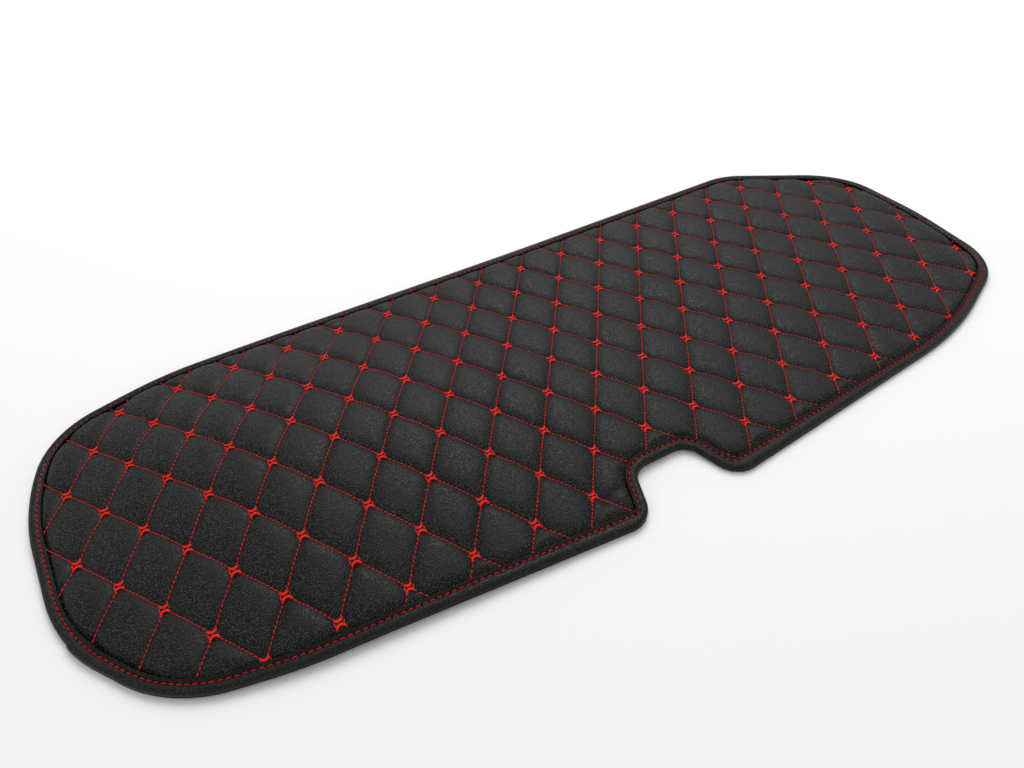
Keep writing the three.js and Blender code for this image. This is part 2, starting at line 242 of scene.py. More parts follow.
def lift(x, y):
    """How high the arched mat's underside is above the floor."""
    across = y - HUMP_AT[1]
    along = math.cos(HUMP_LEAN) * (x - HUMP_AT[0]) + math.sin(HUMP_LEAN) * across
    reach = np.where(along < 0, HUMP_REACH_LEFT, HUMP_REACH_RIGHT)
    shares = [np.clip(np.abs(way), 0, 1) for way in (along / reach, across / HUMP_REACH_ACROSS)]
    return HUMP_HEIGHT * np.cos(math.pi / 2 * shares[0]) ** 2 * np.cos(math.pi / 2 * shares[1]) ** 2


# The lattice of seams. LATTICE_REACH seams on either side of the first crossing cover the mat.
DIAMOND_WIDTH = 57.6 * MM
DIAMOND_LENGTH = 81.7 * MM
CROSSING_AT = np.array([5.2, -37.7]) * MM - outline_middle
LATTICE_REACH = 13
SEAM_GAP = DIAMOND_WIDTH * DIAMOND_LENGTH / math.hypot(DIAMOND_WIDTH, DIAMOND_LENGTH)

# Levels over the mat's underside, and the form of the pillows
LAYER_INSET = 1.3 * MM
BACKING_BOTTOM = 1.3 * MM
BACKING_TOP = 2.0 * MM
SHEET_BOTTOM = 2.3 * MM
CROSSING_TOP = 3.9 * MM
SEAM_ARCH = 1.5 * MM
PILLOW_RISE = 3.3 * MM
PILLOW_RISE_SPREAD = 0.12
PILLOW_CORNER = 11 * MM
PILLOW_EDGE_CORNER = 6 * MM
PILLOW_ROLL = 7 * MM
PILLOW_ROLL_SHARE = 0.7
PILLOW_STARTS = 4.2 * MM
GUTTER_DEPTH = 1.5 * MM
GUTTER_WIDTH = 1.8 * MM
SHEET_STEPS = 22
SHEET_STEP_EASE = 0.65

# Creases of the leatherette beside the notch: start, end and depth
CREASES = [
    ((-93 * MM, -186 * MM), (-76 * MM, -171 * MM), 2.0 * MM),
    ((-76 * MM, -171 * MM), (-51 * MM, -166 * MM), 3.0 * MM),
]
CREASE_WIDTH = 3.0 * MM


def crossing(i, j):
    """Where two seams cross; i and j number the two families of seams."""
    return (
        CROSSING_AT[0] + (i + j) * DIAMOND_WIDTH / 2,
        CROSSING_AT[1] + (j - i) * DIAMOND_LENGTH / 2,
    )


def seam_level(i, j):
    """Height of the valleys: a seam arches up a little between the tacks that hold it down."""
    arches = [np.sin(math.pi * n) ** 2 for n in (i, j)]
    return CROSSING_TOP + SEAM_ARCH * (arches[0] + arches[1] - arches[0] * arches[1])


def rounded_least(first, second, radius):
    """The lesser of two distances, with the corner where they are equal rounded."""
    least = np.minimum(first, second)
    corner = radius - np.hypot(np.maximum(radius - first, 0), np.maximum(radius - second, 0))
    return np.where(least > radius, least, corner)


def pillow(i, j, past_lip):
    """Height of the quilted face over the valley of a seam, as a share of a pillow's rise."""
    to_seams = [np.minimum(n % 1, 1 - n % 1) * SEAM_GAP for n in (i, j)]
    inside = rounded_least(*to_seams, PILLOW_CORNER)
    inside = rounded_least(inside, past_lip, PILLOW_EDGE_CORNER)
    roll = np.clip(inside / PILLOW_ROLL, 0, 1)
    crown = np.clip(inside / (SEAM_GAP / 2), 0, 1)
    rolled = np.sqrt(1 - (1 - roll) ** 2)
    return PILLOW_ROLL_SHARE * rolled + (1 - PILLOW_ROLL_SHARE) * crown * (2 - crown)


def creased(x, y):
    """How far the creases beside the notch press the face down."""
    places = np.stack([x, y], -1)
    depth = 0
    for start, end, deep in CREASES:
        start, end = np.array(start), np.array(end)
        share = np.clip((places - start) @ (end - start) / ((end - start) @ (end - start)), 0, 1)
        away = np.linalg.norm(places - start - share[:, None] * (end - start), axis=1)
        depth = depth + deep * np.exp(-((away / CREASE_WIDTH) ** 2))
    return depth


def linked_object(name, mesh):
    """An object of the scene with this mesh, shaded smooth."""
    mesh.polygons.foreach_set("use_smooth", [True] * len(mesh.polygons))
    made = bpy.data.objects.new(name, mesh)
    bpy.context.scene.collection.objects.link(made)
    return made


def mesh_object(name, vertices, faces):
    mesh = bpy.data.meshes.new(name)
    mesh.from_pydata(np.asarray(vertices).tolist(), [], [list(face) for face in faces])
    mesh.validate()
    return linked_object(name, mesh)


def grid_cells(corner):
    """The four-sided faces of a grid of numbered corners."""
    return np.stack([corner[:-1, :-1], corner[1:, :-1], corner[1:, 1:], corner[:-1, 1:]], -1).reshape(-1, 4)


def diamond_cloth(name, steps, ease, top, bottom):
    """A closed cloth over all the diamonds, cut along the outline inside the binding.

    The grid runs along the seams, with a number of steps to a diamond that crowd towards its seams.
    Its rim is moved onto the cut. The faces are those of the top, the bottom and the cut edge.
    """
    cell, part = np.divmod(np.arange(-LATTICE_REACH * steps, LATTICE_REACH * steps + 1), steps)
    part = part / steps
    line = cell + part - ease * np.sin(2 * math.pi * part) / (2 * math.pi)
    i, j = [n.ravel() for n in np.meshgrid(line, line, indexing="ij")]
    x, y = crossing(i, j)
    near = (np.abs(x) < cad_high.x + DIAMOND_WIDTH) & (np.abs(y) < cad_high.y + DIAMOND_WIDTH)
    inset = np.full(len(x), -1.0)
    inward = np.zeros((len(x), 2))
    inset[near], inward[near] = inside_edge(np.stack([x[near], y[near]], 1))

    side = len(line)
    corner = np.arange(side * side).reshape(side, side)
    cells = grid_cells(corner)
    cells = cells[(inset[cells].mean(1) > LAYER_INSET) & near[cells].all(1)]
    edges = np.vstack([cells[:, [k, (k + 1) % 4]] for k in range(4)])
    key = edges[:, 0].astype(np.int64) * side * side + edges[:, 1]
    back = edges[:, 1].astype(np.int64) * side * side + edges[:, 0]
    rim = edges[~np.isin(key, back)]

    on_rim = np.unique(rim)
    move = (LAYER_INSET - inset[on_rim])[:, None] * inward[on_rim]
    x[on_rim] += move[:, 0]
    y[on_rim] += move[:, 1]

    used = np.unique(cells)
    renumber = np.zeros(side * side, int)
    renumber[used] = np.arange(len(used))
    x, y, i, j = x[used], y[used], i[used], j[used]
    low = lift(x, y)
    upper = np.stack([x, y, low + top(x, y, i, j)], 1)
    lower = np.stack([x, y, low + bottom], 1)
    cells, rim = renumber[cells], renumber[rim]
    count = len(used)
    walls = np.stack([rim[:, 1], rim[:, 0], rim[:, 0] + count, rim[:, 1] + count], 1)
    faces = np.vstack([cells, cells[:, ::-1] + count, walls])
    return mesh_object(name, np.vstack([upper, lower]), faces)


CLOTH_STEPS = 30
CLOTH_SCALE = 10
CLOTH_FRAMES = 20
CLOTH_PRESSURE = 0.5
CLOTH_SLACK = 0.008
CLOTH_MOST_MOVE = 1.2 * MM


def simulated_pillow():
    """How a diamond's face moves when it is slack cloth, blown up and held along its seams.

    The cloth is worked out at ten times its size, where the solver is steady.
    """
    side = CLOTH_STEPS + 1
    i, j = [n.ravel() for n in np.meshgrid(*[np.linspace(0, 1, side)] * 2, indexing="ij")]
    height = PILLOW_RISE * pillow(i, j, np.full(len(i), MAT_WIDTH))
    start = np.stack([*crossing(i, j), height], 1) * CLOTH_SCALE
    face = mesh_object("pillow_face", start, grid_cells(np.arange(side * side).reshape(side, side)))
    face.vertex_groups.new(name="seams").add(np.flatnonzero(height <= 0).tolist(), 1.0, "REPLACE")
    cloth = face.modifiers.new("cloth", "CLOTH")
    cloth.settings.vertex_group_mass = "seams"
    cloth.settings.use_pressure = True
    cloth.settings.uniform_pressure_force = CLOTH_PRESSURE
    cloth.settings.shrink_min = cloth.settings.shrink_max = -CLOTH_SLACK
    cloth.settings.effector_weights.gravity = 0
    for number in range(1, CLOTH_FRAMES + 1):
        bpy.context.scene.frame_set(number)
    blown = face.evaluated_get(bpy.context.evaluated_depsgraph_get()).data
    after = np.empty(3 * len(blown.vertices))
    blown.vertices.foreach_get("co", after)
    bpy.context.scene.frame_set(1)
    bpy.data.objects.remove(face)
    move = (after.reshape(-1, 3) - start)[:, 2] / CLOTH_SCALE
    return (CLOTH_MOST_MOVE * np.tanh(move / CLOTH_MOST_MOVE)).reshape(side, side)


pillow_move = simulated_pillow()


def cloth_move(i, j):
    """The simulated face's move at any place of the diamond it is in."""
    at = [(n % 1) * CLOTH_STEPS for n in (i, j)]
    low = [np.minimum(n.astype(int), CLOTH_STEPS - 1) for n in at]
    share = [n - start for n, start in zip(at, low)]
    first, second = [
        pillow_move[row, low[1]] * (1 - share[1]) + pillow_move[row, low[1] + 1] * share[1]
        for row in (low[0], low[0] + 1)
    ]
    return first * (1 - share[0]) + second * share[0]


RISE_SEED = 7
rise_of_diamond = np.random.default_rng(RISE_SEED).uniform(-1, 1, (2 * LATTICE_REACH + 2,) * 2)


def sheet_top(x, y, i, j):
    """Height of the quilted face over the mat's underside."""
    row, column = [np.floor(n).astype(int) + LATTICE_REACH for n in (i, j)]
    rise = PILLOW_RISE * (1 + PILLOW_RISE_SPREAD * rise_of_diamond[row, column])
    past_lip = inside_seam(np.stack([x, y], 1))[0] - PILLOW_STARTS
    height = pillow(i, j, past_lip)
    gutter = GUTTER_DEPTH * np.exp(-(np.maximum(past_lip, 0) / GUTTER_WIDTH) ** 2)
    crushed = creased(x, y) - cloth_move(i, j)
    return seam_level(i, j) - gutter + (rise - crushed) * height


quilted_sheet = diamond_cloth(
    "quilted_leatherette", SHEET_STEPS, SHEET_STEP_EASE, sheet_top, SHEET_BOTTOM
)


class Value:
    """A number that varies over a surface. Sums, differences and products add Math nodes."""

    def __init__(self, finish, socket):
        self.finish = finish
        self.socket = socket

    def math(self, operation, first, second):
        return self.finish.add("Math", {"operation": operation}, {0: first, 1: second})

    def __add__(self, other):
        return self.math("ADD", self, other)

    def __radd__(self, other):
        return self.math("ADD", other, self)

    def __sub__(self, other):
        return self.math("SUBTRACT", self, other)

    def __rsub__(self, other):
        return self.math("SUBTRACT", other, self)

    def __mul__(self, other):
        return self.math("MULTIPLY", self, other)

    def __rmul__(self, other):
        return self.math("MULTIPLY", other, self)


class Finish:
    """A material in the making, with one way of adding a node to it."""

    def __init__(self, name, **fixed):
        self.material = bpy.data.materials.new(name)
        self.material.use_nodes = True
        self.tree = self.material.node_tree
        self.shader = self.tree.nodes["Principled BSDF"]
        self.place = self.add("TexCoord", output="Object")
        for socket, value in fixed.items():
            self.shader.inputs[socket.replace("_", " ")].default_value = value

    def add(self, kind, settings=None, inputs=None, output=0):
        """A node with its settings made and its sockets given values or links."""
        node = self.tree.nodes.new("ShaderNode" + kind)
        for setting, value in (settings or {}).items():
            setattr(node, setting, value)
        for socket, value in (inputs or {}).items():
            self.give(node.inputs[socket], value)
        return Value(self, node.outputs[output])

    def give(self, socket, value):
        """Sets a socket to a number or a colour, or links a varying value to it."""
        if isinstance(value, Value):
            self.tree.links.new(value.socket, socket)
        else:
            socket.default_value = value

    def noise(self, size, detail=2, roughness=0.5, place=None):
        """Soft random variation from 0 to 1, with lumps of the given size."""
        inputs = {"Scale": 1 / size, "Detail": detail, "Roughness": roughness}
        return self.add("TexNoise", {}, {"Vector": place or self.place, **inputs}, "Fac")

    def mix(self, share, first, second):
        """A colour between two others."""
        return self.add("Mix", {"data_type": "RGBA"}, {0: share, 6: first, 7: second}, 2)

    def between(self, value, low, high, new_low=0.0, new_high=1.0):
        """The value, with the range low to high stretched to a new range."""
        ends = {"From Min": low, "From Max": high, "To Min": new_low, "To Max": new_high}
        return self.add("MapRange", {"interpolation_type": "SMOOTHSTEP"}, {"Value": value, **ends})

    def surface(self, **links):
        """Gives the shader's sockets their varying values."""
        for socket, value in links.items():
            self.give(self.shader.inputs[socket.replace("_", " ")], value)

    def bump(self, height, depth, under=None):
        """Relief with the given real depth, over an earlier one."""
        inputs = {"Strength": 1.0, "Distance": depth, "Height": height}
        if under:
            inputs["Normal"] = under
        return self.add("Bump", {}, inputs)


# Distances from a pebble's middle, in grain sizes: where its round starts and where it is lowest
PEBBLE_ROUND_STARTS = 0.12
PEBBLE_RIM = 0.58


def leather(name, dark, light, grain_size, grain_depth, roughness):
    """Embossed leatherette: rounded pebbles of uneven gloss with painted glints, and painted shade in the
    creases.
    """
    finish = Finish(name, Specular_IOR_Level=0.24)
    bend = finish.add("TexNoise", {}, {"Vector": finish.place, "Scale": 1 / (3 * grain_size)}, "Color")
    bending = {0: 0.6 * grain_size, 1: finish.place, 2: bend}
    bent = finish.add("MixRGB", {"blend_type": "LINEAR_LIGHT"}, bending)
    cells = {"Vector": bent, "Scale": 1 / grain_size}
    away = finish.add("TexVoronoi", {"feature": "F1"}, cells, "Distance")
    pebble = finish.between(away, PEBBLE_ROUND_STARTS, PEBBLE_RIM, 1.0, 0.0)
    painted_glint_and_gloss = finish.noise(1.3 * grain_size, 1)
    broad = finish.noise(40 * grain_size)
    crease = finish.bump(pebble, grain_depth)
    # The base colour paints light: a painted glint on each pebble where the glint noise is high, and
    # painted shade in the creases; the broad noise is the leatherette's own uneven tone
    finish.surface(
        Base_Color=finish.mix(pebble * (0.1 + 1.3 * painted_glint_and_gloss) + 0.2 * (broad - 0.5), dark, light),
        Roughness=roughness + 0.1 * (broad - 0.5) - 0.2 * pebble * (painted_glint_and_gloss - 0.3),
        Normal=finish.bump(painted_glint_and_gloss, grain_depth / 2, crease),
    )
    return finish.material


def finish_with(piece, material):
    piece.data.materials.clear()
    piece.data.materials.append(material)


# The leatherette's black, which the grain's creases keep as painted shade, and the painted glint on its
# pebbles
SHEET_BLACK_AND_CREASE_SHADE = (0.0010, 0.0010, 0.0012, 1)
SHEET_PAINTED_GLINT = (0.058, 0.059, 0.060, 1)
SHEET_GRAIN = 1.6 * MM
SHEET_GRAIN_DEPTH = 0.6 * MM
SHEET_ROUGHNESS = 0.45

finish_with(
    quilted_sheet,
    leather(
        "quilted leatherette", SHEET_BLACK_AND_CREASE_SHADE, SHEET_PAINTED_GLINT, SHEET_GRAIN, SHEET_GRAIN_DEPTH, SHEET_ROUGHNESS
    ),
)
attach(quilted_sheet, "root")
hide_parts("quilted_sheet")


# Backing cloth
# A thin black non-woven cloth under the foam. It is matt and slightly hairy, and ends inside the
# binding with the sheet.

BACKING_STEPS = 6
BACKING_DARK = (0.014, 0.014, 0.015, 1)
BACKING_LIGHT = (0.036, 0.036, 0.038, 1)
BACKING_FIBRE = 0.5 * MM
FIBRE_STRETCH = 0.3

backing_cloth = diamond_cloth(
    "backing_cloth_felt", BACKING_STEPS, 0, lambda x, y, i, j: BACKING_TOP, BACKING_BOTTOM
)


def felt(name, dark, light, fibre):
    """Non-woven cloth: short tangled fibres and no gloss."""
    finish = Finish(name, Specular_IOR_Level=0.2, Roughness=0.95)
    hairs = 0
    for scale in [(1, FIBRE_STRETCH, 1), (FIBRE_STRETCH, 1, 1)]:
        stretched = finish.add("Mapping", {}, {"Vector": finish.place, "Scale": scale})
        hairs = finish.noise(fibre, 3, 0.6, stretched) * 0.5 + hairs
    finish.surface(
        Base_Color=finish.mix(finish.between(hairs, 0.35, 0.65), dark, light),
        Normal=finish.bump(hairs, fibre / 2),
    )
    return finish.material


finish_with(backing_cloth, felt("non-woven cloth", BACKING_DARK, BACKING_LIGHT, BACKING_FIBRE))
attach(backing_cloth, "root")
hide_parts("backing_cloth")


# Edge binding
# One strip of fine-grained leatherette, folded round the cut edge and sewn through. Its upper
# inner edge is turned under and stands up beside the seam. It laps at the left end and in the notch.

# LIP_WIDTH is how far the strip goes on past its seam
LIP_WIDTH = 3.8 * MM
BINDING_THICKNESS = 1 * MM
LIP_BOTTOM = 4.9 * MM
BINDING_STEP = 1.6 * MM
STITCH_PITCH = 6 * MM

# The strip's section as (inset, level): under the mat, round its edge and over it to the lip
BINDING_OUTSIDE = np.array([
    (11.8, 0.5), (11.3, 0.0), (9.4, 0.0), (8.0, 0.45), (6.6, 0.0), (1.7, 0.0),
    (0.5, 0.5), (0.0, 1.4), (0.5, 2.3), (0.35, 3.5), (0.5, 4.7), (1.5, 6.0),
    (3.4, 6.7), (5.6, 6.6), (7.1, 6.0), (8.0, 5.1), (8.7, 6.1), (9.4, 7.0),
    (10.1, 6.2), (10.9, 7.1), (11.7, 6.5), (11.8, 5.3),
]) * MM
BINDING_INSIDE = np.array([
    (11.5, 4.9), (1.3, 4.9), (1.0, 4.6), (1.0, 1.3), (1.3, 1.0), (11.5, 1.0),
]) * MM
SPLINE_STEPS = 2

# The stitches press the strip down along its seam, and their gaps let it up
PRESS_DEPTH = 0.22 * MM
PRESS_REACH = 1.4 * MM
PRESS_LOWEST = LIP_BOTTOM + 0.1 * MM

# Where the strip's ends lap and where it is pleated: place, how far along, how much it stands out
LAPS = [
    ((-501 * MM, -70 * MM), 60 * MM, 1.1 * MM),
    ((27 * MM, -156 * MM), 30 * MM, 0.7 * MM),
]
PLEATS = [((-31 * MM, -161 * MM), 2.2 * MM, -1.6 * MM)]


def rounded(points, steps):
    """A smooth open curve through the points."""
    run = np.vstack([2 * points[0] - points[1], points, 2 * points[-1] - points[-2]])
    made = []
    for a, b, c, d in zip(run, run[1:], run[2:], run[3:]):
        for t in np.arange(steps) / steps:
            bends = (2 * a - 5 * b + 4 * c - d) * t**2 + (3 * b - a - 3 * c + d) * t**3
            made.append(0.5 * (2 * b + (c - a) * t + bends))
    return np.array([*made, points[-1]])


def standing_out(edge):
    """How far the strip stands out at each point of the edge, at its laps and pleats."""
    way = way_along(edge)
    out = np.zeros(len(edge))
    for place, length, thickness in LAPS:
        start = np.linalg.norm(edge - place, axis=1).argmin()
        share = (way[:-1] - way[start]) % way[-1] / length
        out += thickness * np.where(share < 1, (1 + np.cos(math.pi * share)) / 2, 0)
    for place, reach, thickness in PLEATS:
        out += thickness * np.exp(-((np.linalg.norm(edge - place, axis=1) / reach) ** 2))
    return out


def binding_strip():
    """The strip's section swept round the mat, from the edge line over the seam line to the lip."""
    seam, edge = evenly(BINDING_STEP, seam_points, edge_points)
    inward = inward_of(seam)
    count = len(seam)
    section = np.maximum(np.vstack([rounded(BINDING_OUTSIDE, SPLINE_STEPS), BINDING_INSIDE]), 0)
    stitches = round(way_along(seam)[-1] / STITCH_PITCH)
    pressed = PRESS_DEPTH * np.cos(2 * math.pi * np.arange(count) / count * stitches)
    near_seam = np.exp(-(((section[:, 0] - SEAM_INSET) / PRESS_REACH) ** 2))
    near_seam[section[:, 1] < PRESS_LOWEST] = 0
    outside = np.minimum(section[:, 0] / SEAM_INSET, 1)[None, :, None]
    past = np.maximum(section[:, 0] - SEAM_INSET, 0)[None, :, None]
    place = edge[:, None] + outside * (seam - edge)[:, None] + past * inward[:, None]
    outer = (section[:, 1] > BINDING_THICKNESS) * np.clip(1 - section[:, 0] / SEAM_INSET, 0, 1)
    outer[-len(BINDING_INSIDE):] = 0
    out = standing_out(edge)[:, None] * outer
    place = place - out[..., None] * inward[:, None]
    z = lift(place[..., 0], place[..., 1]) + section[:, 1] + pressed[:, None] * near_seam + out / 2
    rows = np.arange(count)[:, None] * len(section) + np.arange(len(section))[None, :]
    after = np.roll(rows, -1, axis=0)
    faces = np.stack([rows, np.roll(rows, -1, axis=1), np.roll(after, -1, axis=1), after], -1)
    vertices = np.dstack([place, z]).reshape(-1, 3)
    return mesh_object("edge_binding_strip", vertices, faces.reshape(-1, 4))


# The binding's black, which the grain's creases keep as painted shade, and the painted glint on its pebbles
BINDING_BLACK_AND_CREASE_SHADE = (0.0015, 0.0015, 0.0017, 1)
BINDING_PAINTED_GLINT = (0.019, 0.0195, 0.020, 1)
BINDING_GRAIN = 1.3 * MM
BINDING_GRAIN_DEPTH = 0.3 * MM
BINDING_ROUGHNESS = 0.42

edge_binding = binding_strip()
finish_with(
    edge_binding,
    leather(
        "binding leatherette",
        BINDING_BLACK_AND_CREASE_SHADE,
        BINDING_PAINTED_GLINT,
        BINDING_GRAIN,
        BINDING_GRAIN_DEPTH,
        BINDING_ROUGHNESS,
    ),
)
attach(edge_binding, "root")
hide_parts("edge_binding")


# Quilting seams
# Bright red twisted thread, sewn in two families of straight seams right through the foam. Each
# stitch dives into its holes, and the seams stop at the tacks on the crossings.

STITCH_LENGTH = 3.2 * MM
STITCH_THICKNESS = 1.25 * MM
STITCH_SPACING = 3.8 * MM
STITCH_SLANT = math.radians(8)
SEAM_END = 5.4 * MM
SEAM_POINT_STEP = 4 * MM
SEAM_FEWEST_POINTS = 3
SEAM_STOPS = LIP_WIDTH - 0.5 * MM
THREAD_SIDES = 6

# A stitch's crown over the seam, how far its ends dive and how much they taper, as shares
STITCH_POINTS = 7
STITCH_CROWN = 0.4
STITCH_DIVE = 0.95
STITCH_TAPER = 0.35


def strand(line, radii, sides=THREAD_SIDES):
    """A closed thread along a line of points, with a radius at each."""
    line = np.array(line, float)
    ahead = np.gradient(line, axis=0)
    ahead /= np.linalg.norm(ahead, axis=1)[:, None]
    across = np.cross((0, 0, 1), ahead)
    across /= np.linalg.norm(across, axis=1)[:, None]
    upward = np.cross(ahead, across)
    angles = 2 * math.pi * np.arange(sides) / sides
    cos, sin = np.cos(angles)[None, :, None], np.sin(angles)[None, :, None]
    ring = cos * across[:, None, :] + sin * upward[:, None, :]
    vertices = (line[:, None, :] + ring * np.array(radii)[:, None, None]).reshape(-1, 3)
    rows = np.arange(len(vertices)).reshape(len(line), sides)
    first, second = rows[:-1], rows[1:]
    faces = np.stack([first, np.roll(first, -1, 1), np.roll(second, -1, 1), second], -1)
    faces = faces.reshape(-1, 4).tolist()
    faces.append(rows[0][::-1].tolist())
    faces.append(rows[-1].tolist())
    return vertices, faces


def joined(name, parts):
    """One mesh object from several lists of vertices and faces."""
    vertices, faces, start = [], [], 0
    for points, corners in parts:
        vertices.extend(points.tolist())
        faces.extend([[start + number for number in face] for face in corners])
        start += len(points)
    return mesh_object(name, vertices, faces)


def stitch_shape(name, length, thickness):
    """One stitch: a short arched thread whose ends dive into the leatherette."""
    way = np.linspace(-1, 1, STITCH_POINTS)
    height = thickness * (STITCH_CROWN - STITCH_DIVE * way**4)
    line = np.stack([way * length / 2, 0 * way, height], 1)
    return joined(name, [strand(line, thickness / 2 * (1 - STITCH_TAPER * way**4))])


def thread_finish(name, dark, light):
    """Red polyester thread: a twist of fine filaments with a soft gloss."""
    finish = Finish(name, Specular_IOR_Level=0.2)
    fuzz = finish.noise(0.35 * MM, 3)
    broad = finish.noise(30 * MM)
    finish.surface(
        Base_Color=finish.mix(0.65 * fuzz + 0.35 * broad, dark, light),
        Roughness=0.42 + 0.2 * fuzz,
        Normal=finish.bump(fuzz, 0.12 * MM),
    )
    return finish.material


# The same red thread as the tacks', coloured darker: painted shade on the thinner stitches in the seams'
# valleys
SEAM_RED_DARK = (0.42, 0.003, 0.005, 1)
SEAM_RED_LIGHT = (0.74, 0.018, 0.016, 1)
seam_thread = thread_finish("seam thread", SEAM_RED_DARK, SEAM_RED_LIGHT)


def repeat_tree(name):
    """Sets a shape along curves, turned along them, on every place or every second, third and so on."""
    tree = bpy.data.node_groups.new(name, "GeometryNodeTree")
    for label, kind, way in [
        ("Geometry", "NodeSocketGeometry", "INPUT"),
        ("Shape", "NodeSocketObject", "INPUT"),
        ("Spacing", "NodeSocketFloat", "INPUT"),
        ("Every", "NodeSocketInt", "INPUT"),
        ("Slant", "NodeSocketFloat", "INPUT"),
        ("Turn spread", "NodeSocketFloat", "INPUT"),
        ("Size spread", "NodeSocketFloat", "INPUT"),
        ("Seed", "NodeSocketInt", "INPUT"),
        ("Thread", "NodeSocketMaterial", "INPUT"),
        ("Geometry", "NodeSocketGeometry", "OUTPUT"),
    ]:
        tree.interface.new_socket(label, in_out=way, socket_type=kind)
    given = tree.nodes.new("NodeGroupInput").outputs

    def node(kind, settings, inputs):
        """The outputs of a new node with its settings made and its sockets given values or links."""
        made = tree.nodes.new(kind)
        for setting, value in settings.items():
            setattr(made, setting, value)
        for socket, value in inputs.items():
            if isinstance(value, bpy.types.NodeSocket):
                tree.links.new(value, made.inputs[socket])
            else:
                made.inputs[socket].default_value = value
        return made.outputs

    curve = node("GeometryNodeMeshToCurve", {}, {"Mesh": given["Geometry"]})[0]
    spacing = {"Curve": curve, "Length": given["Spacing"]}
    spaced = node("GeometryNodeResampleCurve", {"mode": "LENGTH"}, spacing)[0]
    tangent = node("GeometryNodeInputTangent", {}, {})[0]
    along = node("FunctionNodeAlignRotationToVector", {"axis": "X"}, {"Vector": tangent})[0]
    upright = {"Rotation": along, "Vector": (0, 0, 1)}
    upward = node("FunctionNodeAlignRotationToVector", {"axis": "Z", "pivot_axis": "X"}, upright)[0]
    low_turn = node("ShaderNodeMath", {"operation": "MULTIPLY"}, {0: given["Turn spread"], 1: -1.0})[0]
    turns = {2: low_turn, 3: given["Turn spread"], "Seed": given["Seed"]}
    loose = node("FunctionNodeRandomValue", {"data_type": "FLOAT"}, turns)[1]
    turn = node("ShaderNodeMath", {"operation": "ADD"}, {0: given["Slant"], 1: loose})[0]
    turned = node("ShaderNodeCombineXYZ", {}, {"Z": turn})[0]
    turned = node("FunctionNodeEulerToRotation", {}, {"Euler": turned})[0]
    turning = {"Rotation": upward, "Rotate By": turned}
    pose = node("FunctionNodeRotateRotation", {"rotation_space": "LOCAL"}, turning)[0]
    smallest = node("ShaderNodeMath", {"operation": "SUBTRACT"}, {0: 1.0, 1: given["Size spread"]})[0]
    largest = node("ShaderNodeMath", {"operation": "ADD"}, {0: 1.0, 1: given["Size spread"]})[0]
    sizes = {2: smallest, 3: largest, "Seed": given["Seed"]}
    size = node("FunctionNodeRandomValue", {"data_type": "FLOAT"}, sizes)[1]
    shape = node("GeometryNodeObjectInfo", {}, {"Object": given["Shape"]})["Geometry"]
    number = node("GeometryNodeInputIndex", {}, {})[0]
    place = node("ShaderNodeMath", {"operation": "MODULO"}, {0: number, 1: given["Every"]})[0]
    chosen = node("ShaderNodeMath", {"operation": "LESS_THAN"}, {0: place, 1: 0.5})[0]
    placed = {"Points": spaced, "Selection": chosen, "Instance": shape}
    copies = node("GeometryNodeInstanceOnPoints", {}, {**placed, "Rotation": pose, "Scale": size})[0]
    real = node("GeometryNodeRealizeInstances", {}, {"Geometry": copies})[0]
    dressed = node("GeometryNodeSetMaterial", {}, {"Geometry": real, "Material": given["Thread"]})[0]
    out = tree.nodes.new("NodeGroupOutput")
    tree.links.new(dressed, out.inputs[0])
    return tree


repeat = repeat_tree("shape repeated along seams")


def lines_object(name, runs, closed=False):
    """Runs of points as a mesh of edges."""
    mesh = bpy.data.meshes.new(name)
    points, edges = [], []
    for run in runs:
        start = len(points)
        points.extend(np.asarray(run).tolist())
        edges.extend([(start + k, start + k + 1) for k in range(len(run) - 1)])
        if closed:
            edges.append((len(points) - 1, start))
    mesh.from_pydata(points, edges, [])
    return linked_object(name, mesh)


def repeated(name, runs, closed=False, **values):
    """The shape set along the runs, as one plain mesh object."""
    source = lines_object(name + "_lines", runs, closed)
    modifier = source.modifiers.new("repeat", "NODES")
    modifier.node_group = repeat
    for socket in repeat.interface.items_tree:
        key = socket.name.lower().replace(" ", "_")
        if socket.in_out == "INPUT" and key in values:
            modifier[socket.identifier] = values[key]
    bpy.context.view_layer.update()
    made = source.evaluated_get(bpy.context.evaluated_depsgraph_get())
    mesh = bpy.data.meshes.new_from_object(made)
    mesh.name = name
    bpy.data.objects.remove(source)
    return linked_object(name, mesh)


def seam_runs(step_i, step_j, end):
    """The open stretch of each seam of one family, from crossing to crossing."""
    numbers = range(-LATTICE_REACH, LATTICE_REACH)
    length = math.hypot(DIAMOND_WIDTH, DIAMOND_LENGTH) / 2
    share = np.linspace(end, length - end, round(length / SEAM_POINT_STEP)) / length
    runs = []
    for i, j in [(i, j) for i in numbers for j in numbers]:
        along = (i + step_i * share, j + step_j * share)
        points = np.stack(crossing(*along), 1)
        if np.abs(points).max() > cad_high.x or np.abs(points[:, 1]).max() > cad_high.y:
            continue
        height = lift(*points.T) + seam_level(*along)
        run = np.column_stack([points, height])[inside_seam(points)[0] > SEAM_STOPS]
        if len(run) >= SEAM_FEWEST_POINTS:
            runs.append(run)
    return runs


quilting_stitch = stitch_shape("quilting_stitch", STITCH_LENGTH, STITCH_THICKNESS)
quilting_pieces = [
    repeated(
        name,
        seam_runs(*steps, SEAM_END),
        shape=quilting_stitch,
        spacing=STITCH_SPACING,
        every=1,
        slant=STITCH_SLANT,
        turn_spread=math.radians(4),
        size_spread=0.06,
        seed=seed,
        thread=seam_thread,
    )
    for name, steps, seed in [
        ("quilting_seams_rising", (0, 1), 3),
        ("quilting_seams_falling", (1, 0), 4),
    ]
]
bpy.data.objects.remove(quilting_stitch)


